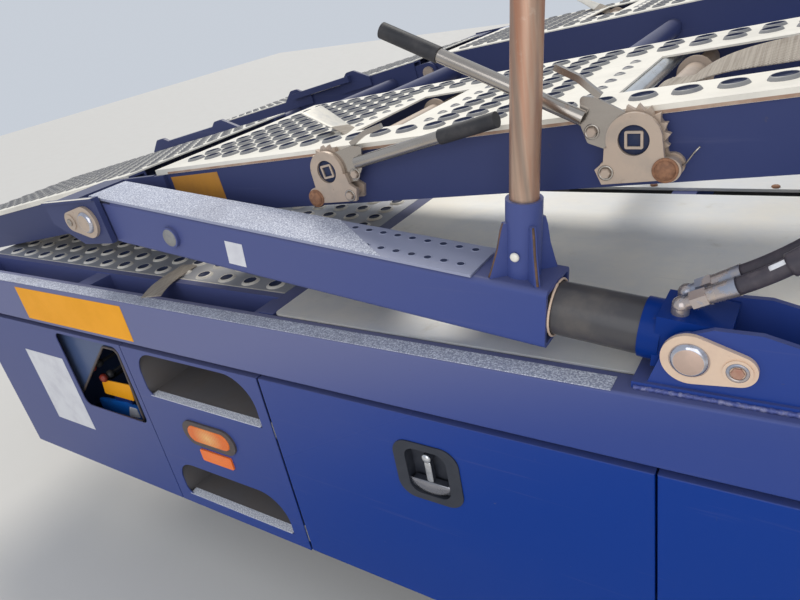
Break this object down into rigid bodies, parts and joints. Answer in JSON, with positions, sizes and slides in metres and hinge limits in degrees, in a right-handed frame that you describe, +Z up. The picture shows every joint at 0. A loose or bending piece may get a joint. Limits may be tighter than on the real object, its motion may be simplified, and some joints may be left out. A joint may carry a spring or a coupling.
{
  "type": "car transporter loading bay section",
  "caption": "Mid-body bay of a car transporter: lower deck, skirt lockers, telescopic lift arms and a hinged upper deck with traction plates.",
  "frame": {"origin": "middle of the chassis bolt pattern, on the underside of the chassis runners, at the vehicle's centre plane", "axes": "+X along the vehicle towards the fixed foot of the lift arms, +Y across it away from the side in the picture, +Z up"},
  "size_m": [3.7427, 2.61, 1.9695],
  "materials": {
    "blue_paint": "gloss",
    "traction_plate": "galvanised",
    "smooth_plate": "mill",
    "zinc_steel": "zinc plated",
    "barrel_black": "satin",
    "amber_lens": "gloss",
    "orange_reflector": "gloss",
    "black_rubber": "matt",
    "latch_metal": "polished",
    "dark_steel": "satin",
    "strap_webbing": "matt"
  },
  "bodies": {
    "root": {"centre_cover_plates": "smooth_plate", "chassis_runners": "dark_steel", "control_box": "dark_steel", "control_levers": "dark_steel", "crossmembers": "blue_paint", "deck_hinge_pins": "zinc_steel", "foot_brackets": "blue_paint", "foot_pins": "zinc_steel", "hinge_stands": "blue_paint", "hoses": "black_rubber", "lamp_grommets": "black_rubber", "lockers": "dark_steel", "marker_lamps": "amber_lens", "side_reflectors": "orange_reflector", "sills": "blue_paint", "skirt_panels": "blue_paint", "smooth_deck_plates": "smooth_plate", "step_panels": "blue_paint", "step_pockets": "dark_steel", "traction_deck_plates": "traction_plate", "well_beams": "blue_paint"},
    "upper_deck": {"deck_traction_plates": "traction_plate", "edge_rollers": "zinc_steel", "knuckle_pins": "zinc_steel", "upper_deck_frame": "blue_paint", "winch_grips": "black_rubber", "winch_handles": "zinc_steel", "winch_plates": "zinc_steel", "winch_straps": "strap_webbing", "winch_wheels": "zinc_steel"},
    "far_arm": {"far_arm_walkway": "traction_plate", "far_lift_arm": "blue_paint", "far_post": "zinc_steel"},
    "far_cylinder": {"far_cylinder_barrel": "barrel_black", "far_cylinder_cap": "blue_paint", "far_port_fittings": "zinc_steel"},
    "far_left_door": {"far_left_door_latch": "latch_metal", "far_left_locker_door": "blue_paint"},
    "far_right_door": {"far_right_door_latch": "latch_metal", "far_right_locker_door": "blue_paint"},
    "flap": {"flap_frames": "blue_paint", "flap_plates": "traction_plate"},
    "near_arm": {"near_arm_walkway": "traction_plate", "near_lift_arm": "blue_paint", "near_post": "zinc_steel"},
    "near_cylinder": {"near_cylinder_barrel": "barrel_black", "near_cylinder_cap": "blue_paint", "near_port_fittings": "zinc_steel"},
    "near_left_door": {"near_left_door_latch": "latch_metal", "near_left_locker_door": "blue_paint"},
    "near_right_door": {"near_right_door_latch": "latch_metal", "near_right_locker_door": "blue_paint"}
  },
  "joints": [
    {"name": "deck_lift", "type": "hinge", "parent": "root", "child": "upper_deck", "pos_m": [1.6, 0, 0.616], "axis": [0, 1, 0], "range_deg": [0, 12.7]},
    {"name": "flap_fold", "type": "hinge", "parent": "upper_deck", "child": "flap", "pos_m": [-0.65, 0, 0.4275], "axis": [0, 1, 0], "range_deg": [0, 20]},
    {"name": "near_cylinder_swing", "type": "hinge", "parent": "root", "child": "near_cylinder", "pos_m": [0.744, -1.212, 0.2735], "axis": [0, 1, 0], "range_deg": [0, 19.5], "deforming": ["hoses"]},
    {"name": "near_arm_extend", "type": "slide", "parent": "near_cylinder", "child": "near_arm", "axis": [-0.994, 0, 0.1098], "range_m": [0, 0.125]},
    {"name": "near_left_door_drop", "type": "hinge", "parent": "root", "child": "near_left_door", "pos_m": [0.252, -1.28, -0.5], "axis": [1, 0, 0], "range_deg": [0, 95]},
    {"name": "near_right_door_drop", "type": "hinge", "parent": "root", "child": "near_right_door", "pos_m": [1.152, -1.28, -0.5], "axis": [1, 0, 0], "range_deg": [0, 95]},
    {"name": "far_cylinder_swing", "type": "hinge", "parent": "root", "child": "far_cylinder", "pos_m": [0.744, 1.212, 0.2735], "axis": [0, 1, 0], "range_deg": [0, 19.5], "deforming": ["hoses"]},
    {"name": "far_arm_extend", "type": "slide", "parent": "far_cylinder", "child": "far_arm", "axis": [-0.994, 0, 0.1098], "range_m": [0, 0.125]},
    {"name": "far_left_door_drop", "type": "hinge", "parent": "root", "child": "far_left_door", "pos_m": [0.252, 1.28, -0.5], "axis": [-1, 0, 0], "range_deg": [0, 95]},
    {"name": "far_right_door_drop", "type": "hinge", "parent": "root", "child": "far_right_door", "pos_m": [1.152, 1.28, -0.5], "axis": [-1, 0, 0], "range_deg": [0, 95]}
  ],
  "couplings": [
    {"joint": "near_cylinder_swing", "follows": "deck_lift", "ratio": 1.51},
    {"joint": "near_arm_extend", "follows": "deck_lift", "m_per_rad": 0.54},
    {"joint": "far_cylinder_swing", "follows": "deck_lift", "ratio": 1.51},
    {"joint": "far_arm_extend", "follows": "deck_lift", "m_per_rad": 0.54}
  ]
}
